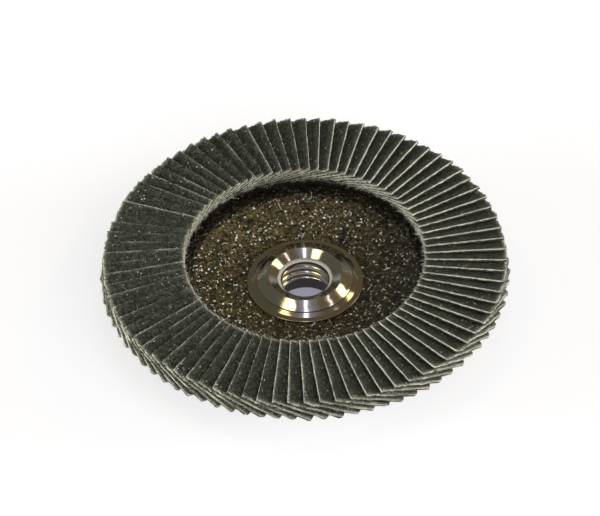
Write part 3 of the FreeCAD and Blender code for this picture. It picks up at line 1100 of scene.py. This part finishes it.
class FLAPDISC_OT_hub(bpy.types.Operator):
    """Make the bright hub with its thread, rolled lip, rear flange and hexagon"""
    bl_idname = "flapdisc.hub"
    bl_label = "Threaded Hub"

    def execute(self, context):
        props = context.scene.flapdisc_hub
        form = HubForm()
        edge_round, crest_round, lip_round = (value / MM for value in (
            props.edge_round, props.crest_round, props.lip_round))
        angles = np.arange(HUB_SEGMENTS) * 2 * math.pi / HUB_SEGMENTS
        hub = Patchwork()

        def add(block, kind, flip=True):
            """Add a turned surface, whose outline runs with the metal on its right."""
            hub.add_grid(block, kind, wrap=True, flip=flip)

        # The counterbore takes the painted shade of the bore.
        counterbore = spun(filleted([
            (form.counterbore + 2, 0, 0), (form.counterbore, 0, edge_round),
            (form.counterbore, form.bore_foot, 0)]))
        add(counterbore, BORE_SHADE)
        thread = self.thread(form, props, angles)
        add(np.concatenate([counterbore[-1:], thread[:1]]), BORE_SHADE)
        # Past the last turn the wall is painted dark, as shade in the bore.
        plain_rows = int(np.sum(thread[:, 0, 2] > form.bore_face - THREAD_STOP - 0.1))
        add(thread[:len(thread) - plain_rows + 1], CUT)
        add(thread[-plain_rows:], BORE_SHADE)
        share = np.linspace(0, 1, 7)[:, None, None]
        face_edge = form.face_radius - FACE_INSET
        entry = spun(np.array([[form.minor + MOUTH_CHAMFER, form.bore_face]]))
        add(np.concatenate([thread[-1:], entry]), BORE_SHADE)
        step = spun(np.array([[face_edge, form.bore_face]]))
        add(entry * (1 - share) + step * share, FACED)
        foot_height = form.apex[1] - (form.apex[0] - face_edge) * math.tan(FUNNEL_SLOPE)
        front = filleted([
            (face_edge, form.bore_face, 0), (face_edge, foot_height, 0.12), (*form.apex, crest_round),
            (form.lip_edge, form.lip_high, lip_round), (form.lip_edge, form.lip_low, 0.15),
            (form.lip_edge - 1.5, form.lip_low, 0)], steps=13)
        add(self.uneven(spun(resampled(front, 0.2)), form), BRIGHT)
        back = filleted([
            (form.spigot, form.flange_top, 0), (form.flange_radius, form.flange_top, edge_round),
            (form.flange_radius, form.flange_low, edge_round),
            (form.flange_chamfer, form.hex_top, edge_round), (form.hex_corner * 0.84, form.hex_top, 0)])
        add(spun(resampled(back, 0.6)), BRIGHT)
        add(self.hexagon(form, angles), BRIGHT, flip=False)
        materials = [
            steel_material(props.steel_colour, "bright_plating", 0.07, 0.22, orange_reflection=0.35, grooves=0.008),
            # Cut thread steel, made brighter than the plating: painted light in the bore.
            steel_material(shade(props.steel_colour, 1.45), "cut_thread_steel", 0.17, 0.3),
            faced_material(TURNED_FACE),
            # The plating made five times darker: painted shade in the bore.
            steel_material(shade(props.steel_colour, 0.2), "bore_steel_painted_shade", 0.40, 0.5),
        ]
        points, faces, kinds, _ = hub.arrays()
        piece = new_piece("bright_hub", points * MM, faces, materials, kinds)
        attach(piece, BODY)
        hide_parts("threaded_hub")
        return {"FINISHED"}

    def thread(self, form, props, angles):
        """Right-hand thread that runs out through the face and the shoulder."""
        heights = np.linspace(form.bore_foot, form.bore_face - MOUTH_DEPTH, 90)
        pitch = props.thread_pitch / MM
        depth = props.thread_major_diameter / MM / 2 - form.minor
        z, a = np.meshgrid(heights, angles, indexing="ij")
        phase = (z / pitch - a / (2 * math.pi)) % 1.0
        # Flat crest, sloping flanks and a rounded root
        flank = np.clip((np.abs(phase - 0.5) * 2 - 0.12) / 0.66, 0, 1)
        root = 1 - flank * flank * (3 - 2 * flank) * 0.35 - flank * 0.65
        # The last turn stops short of the face.
        fade = np.clip((form.bore_face - THREAD_STOP - z) / THREAD_FADE, 0, 1)
        radius = form.minor + depth * root * fade
        return np.stack([radius * np.cos(a), radius * np.sin(a), z], axis=-1)

    def uneven(self, lip, form):
        """The lip with the slight waves that rolling it over leaves near its edge."""
        radius = np.hypot(lip[..., 0], lip[..., 1])
        angle = np.arctan2(lip[..., 1], lip[..., 0])
        amount = np.clip((radius - form.apex[0] - 1.0) / 2, 0, 1) * (lip[..., 2] > form.lip_low + 0.05)
        wave = (value_noise(angle * 2.5 + 9, radius * 0.6, 21.0) - 0.5) * 0.16
        wave += (value_noise(angle * 14 + 9, radius * 1.5, 22.0) - 0.5) * 0.008
        out = lip.copy()
        out[..., 2] += wave * amount
        return out

    def hexagon(self, form, angles):
        """Hexagon that flares from its end up to the rear flange."""
        flat = form.hex_corner * math.cos(math.pi / 6)
        side = ((angles - form.hex_turn) % (math.pi / 3)) - math.pi / 6
        blank = flat / np.cos(side)
        slope = (form.hex_corner - form.hex_chamfer_radius) / form.hex_chamfer_top
        rows = [spun(np.array([[form.counterbore + 2, 0.0]]))[0]]
        for level in np.append(np.linspace(0, form.hex_chamfer_top, 6), form.hex_top):
            limit = form.hex_corner - max(0.0, form.hex_chamfer_top - level) * slope
            row = np.minimum(blank, limit)
            rows.append(np.stack([row * np.cos(angles), row * np.sin(angles),
                                  np.full(len(angles), level)], axis=-1))
        return np.array(rows)


class FLAPDISC_OT_flange(bpy.types.Operator):
    """Make the front flange that the hub's lip is rolled over"""
    bl_idname = "flapdisc.flange"
    bl_label = "Front Flange"

    def execute(self, context):
        props = context.scene.flapdisc_hub
        low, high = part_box("front_flange")
        radii, heights = profile_of("front_flange", "top")
        rim = [(r, z) for r, z in zip(radii, heights) if z > low.z + 0.1 * MM]
        foot = max(r for r, z in zip(*profile_of("front_flange", "back")) if z < low.z + 0.01 * MM)
        rounding = [0] + [props.edge_round] * (len(rim) - 1)
        rounding[1] = 0.1 * MM
        corners = [(radii[0], low.z, 0)] + [(r, z, size) for (r, z), size in zip(rim, rounding)]
        corners += [(foot, low.z, 0.05 * MM), (radii[0], low.z, 0)]
        outline = resampled(filleted(corners), 0.35 * MM)
        grid = spun(outline)
        material = steel_material(
            props.flange_colour, "flange_plating", 0.08, 0.35, orange_reflection=0.4, grooves=0.0)
        faces = grid_faces(len(outline), HUB_SEGMENTS, wrap=True, flip=True)
        piece = new_piece("bright_flange", grid.reshape(-1, 3), faces, [material])
        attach(piece, BODY)
        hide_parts("front_flange")
        return {"FINISHED"}


# Stage: floor, lamps and camera

FLOOR_SHADE_UNDER_DISC, FLOOR_OPEN = (0.76, 0.78, 1.0), (0.99, 0.99, 1.0)
WHITE, HORIZON_FAR = (1.0, 1.0, 1.0), (0.5, 0.5, 0.5)
ROOM_LEFT, ROOM_RIGHT, ROOM_TOP = (0.120, 0.118, 0.088), (0.165, 0.128, 0.078), (0.34, 0.34, 0.44)
WARM, NEUTRAL, COOL, PLAIN = (1.0, 0.89, 0.48), (1.0, 0.98, 0.95), (0.80, 0.82, 1.0), (0.98, 0.99, 1.0)
# Name, direction from the disc, distance, size, watts, colour and shape. The lamps show in the bright
# metal, and the soft ones don't.
LAMPS = (
    ("lamp_right_back", (0.668, 0.290, 0.685), 1.1, (0.27, 0.18), 0.6, WARM, "RECTANGLE"),
    ("lamp_left", (-0.346, -0.149, 0.926), 1.1, (0.31, 0.175), 0.65, WARM, "RECTANGLE"),
    ("lamp_small", (0.492, -0.036, 0.870), 1.1, (0.16, 0.035), 0.05, NEUTRAL, "RECTANGLE"),
    ("lamp_strip", (0.0, -0.09, 1.0), 1.3, (0.085, 0.95), 0.9, COOL, "ELLIPSE"),
    ("soft_front", (0.45, -0.84, 0.76), 1.6, (1.4, 1.0), 12.0, PLAIN, "RECTANGLE"),
    ("soft_left", (-0.97, -0.10, 0.18), 1.5, (0.7, 0.4), 25.0, PLAIN, "RECTANGLE"),
    ("soft_right", (0.97, 0.0, 0.18), 1.5, (0.7, 0.4), 20.0, PLAIN, "RECTANGLE"),
)


def floor_material(colour):
    """Pale floor that reads white to the camera and in reflections, keeps the shadow, and has painted
    bluish shade under the disc.
    """
    material, tree, shader = new_material("pale_floor", colour, 0.85)
    shader.inputs["Specular IOR Level"].default_value = 0.1
    path = tree.nodes.new("ShaderNodeLightPath")
    seen = maths(tree, "MAXIMUM", path.outputs["Is Camera Ray"], path.outputs["Is Glossy Ray"])
    seen = maths(tree, "MAXIMUM", seen, path.outputs["Is Transmission Ray"])
    place = tree.nodes.new("ShaderNodeTexCoord")
    reach = tree.nodes.new("ShaderNodeVectorMath")
    reach.operation = "LENGTH"
    tree.links.new(place.outputs["Object"], reach.inputs[0])
    # Under the disc the floor's glow is cut down and turned bluish: painted shade, grey.
    open_floor = ramp(tree, reach.outputs["Value"], 10 * MM, 30 * MM)
    glow = maths(tree, "ADD", 0.27, maths(tree, "MULTIPLY", open_floor, 0.37))
    tree.links.new(maths(tree, "MULTIPLY", seen, glow), shader.inputs["Emission Strength"])
    tint = blended(tree, open_floor, FLOOR_SHADE_UNDER_DISC, FLOOR_OPEN)
    tree.links.new(tint, shader.inputs["Emission Color"])
    return material


def lamp_panel(name, direction, distance, size, watts, colour, shape):
    """Flat lamp that faces the disc."""
    lamp = bpy.data.lights.new(name, "AREA")
    lamp.shape = shape
    lamp.size, lamp.size_y = size
    lamp.energy = watts
    lamp.color = colour
    holder = bpy.data.objects.new(name, lamp)
    bpy.context.scene.collection.objects.link(holder)
    direction = Vector(direction).normalized()
    holder.location = direction * distance
    holder.rotation_euler = direction.to_track_quat("Z", "Y").to_euler()
    return holder


class FLAPDISC_OT_stage(bpy.types.Operator):
    """Set the floor, the soft studio lamps and the camera"""
    bl_idname = "flapdisc.stage"
    bl_label = "Stage"

    def execute(self, context):
        props = context.scene.flapdisc_stage
        scene = context.scene
        span = 6.0
        mesh = bpy.data.meshes.new("floor")
        corners = [(-span, -span, 0), (span, -span, 0), (span, span, 0), (-span, span, 0)]
        mesh.from_pydata(corners, [], [(0, 1, 2, 3)])
        mesh.materials.append(floor_material(props.floor_colour))
        floor = bpy.data.objects.new("floor", mesh)
        scene.collection.objects.link(floor)
        for lamp in LAMPS:
            lamp_panel(*lamp).visible_glossy = not lamp[0].startswith("soft_")
        self.set_world(scene)
        self.set_camera(scene, props)
        scene.view_settings.view_transform = "Standard"
        return {"FINISHED"}

    def set_world(self, scene):
        """White near the horizon and a dim room above, so that metal has something to show."""
        world = bpy.data.worlds.new("studio_room")
        world.use_nodes = True
        scene.world = world
        tree = world.node_tree
        back = tree.nodes["Background"]
        place = tree.nodes.new("ShaderNodeTexCoord")
        split = tree.nodes.new("ShaderNodeSeparateXYZ")
        tree.links.new(place.outputs["Generated"], split.inputs[0])
        above = ramp(tree, split.outputs[2], 0.16, 0.38)
        horizon = blended(tree, ramp(tree, split.outputs[1], -0.2, 0.6), WHITE, HORIZON_FAR)
        overhead = blended(tree, ramp(tree, split.outputs[0], -0.5, 0.5), ROOM_LEFT, ROOM_RIGHT)
        tint = blended(tree, above, horizon, overhead)
        side = maths(tree, "ABSOLUTE", split.outputs[0])
        bluish = maths(
            tree, "MULTIPLY", ramp(tree, side, 0.32, 0.05), ramp(tree, split.outputs[2], 0.86, 0.97))
        tint = blended(tree, bluish, tint, ROOM_TOP)
        # The camera sees a white backdrop.
        path = tree.nodes.new("ShaderNodeLightPath")
        tint = blended(tree, path.outputs["Is Camera Ray"], tint, WHITE)
        tree.links.new(tint, back.inputs["Color"])
        back.inputs["Strength"].default_value = 1.0

    def set_camera(self, scene, props):
        """Camera fitted to the flap corners in the photograph."""
        outer_corner_drop = 0.98 * MM
        aim = Vector((0, 0, CAD_BOX[1][2] - outer_corner_drop))
        side_offset, up_offset = -1.32 * MM, -0.65 * MM
        e = props.camera_elevation
        right = Vector((1, 0, 0))
        up = Vector((0, math.sin(e), math.cos(e)))
        forward = Vector((0, math.cos(e), -math.sin(e)))
        roll = props.camera_roll
        local_x = math.cos(roll) * right - math.sin(roll) * up
        local_y = math.sin(roll) * right + math.cos(roll) * up
        camera = bpy.data.objects.new("camera", bpy.data.cameras.new("camera"))
        scene.collection.objects.link(camera)
        place = aim + right * side_offset + up * up_offset - forward * props.camera_distance
        turn = Matrix((local_x, local_y, -forward)).transposed().to_4x4()
        camera.matrix_world = Matrix.Translation(place) @ turn
        camera.data.sensor_width = SENSOR_WIDTH
        camera.data.sensor_fit = "HORIZONTAL"
        camera.data.lens = SENSOR_WIDTH * props.focal_pixels / PHOTO_WIDTH
        camera.data.clip_end = 50.0
        scene.camera = camera


class FLAPDISC_PT_panel(bpy.types.Panel):
    """Buttons and sizes of the flap disc"""
    bl_idname = "FLAPDISC_PT_panel"
    bl_label = "Flap Disc"
    bl_space_type = "VIEW_3D"
    bl_region_type = "UI"
    bl_category = "Flap Disc"

    def draw(self, context):
        layout = self.layout
        for step in STEPS:
            layout.operator(step.bl_idname)
        for group in GROUPS:
            box = layout.box()
            for prop in GROUPS[group].__annotations__:
                box.prop(getattr(context.scene, group), prop)


GROUPS = {
    "flapdisc_cloth": FlapDiscClothProps,
    "flapdisc_plate": FlapDiscPlateProps,
    "flapdisc_hub": FlapDiscHubProps,
    "flapdisc_stage": FlapDiscStageProps,
}
STEPS = (
    FLAPDISC_OT_flaps, FLAPDISC_OT_plate, FLAPDISC_OT_lint,
    FLAPDISC_OT_hub, FLAPDISC_OT_flange, FLAPDISC_OT_stage)
CLASSES = tuple(GROUPS.values()) + STEPS + (FLAPDISC_PT_panel,)


def register():
    for cls in CLASSES:
        bpy.utils.register_class(cls)
    for name, cls in GROUPS.items():
        setattr(bpy.types.Scene, name, bpy.props.PointerProperty(type=cls))


def unregister():
    for name in GROUPS:
        delattr(bpy.types.Scene, name)
    for cls in reversed(CLASSES):
        bpy.utils.unregister_class(cls)


def main():
    register()
    bpy.ops.flapdisc.flaps()
    bpy.ops.flapdisc.plate()
    bpy.ops.flapdisc.lint()
    bpy.ops.flapdisc.hub()
    bpy.ops.flapdisc.flange()
    bpy.ops.flapdisc.stage()


if __name__ == "__main__":
    main()
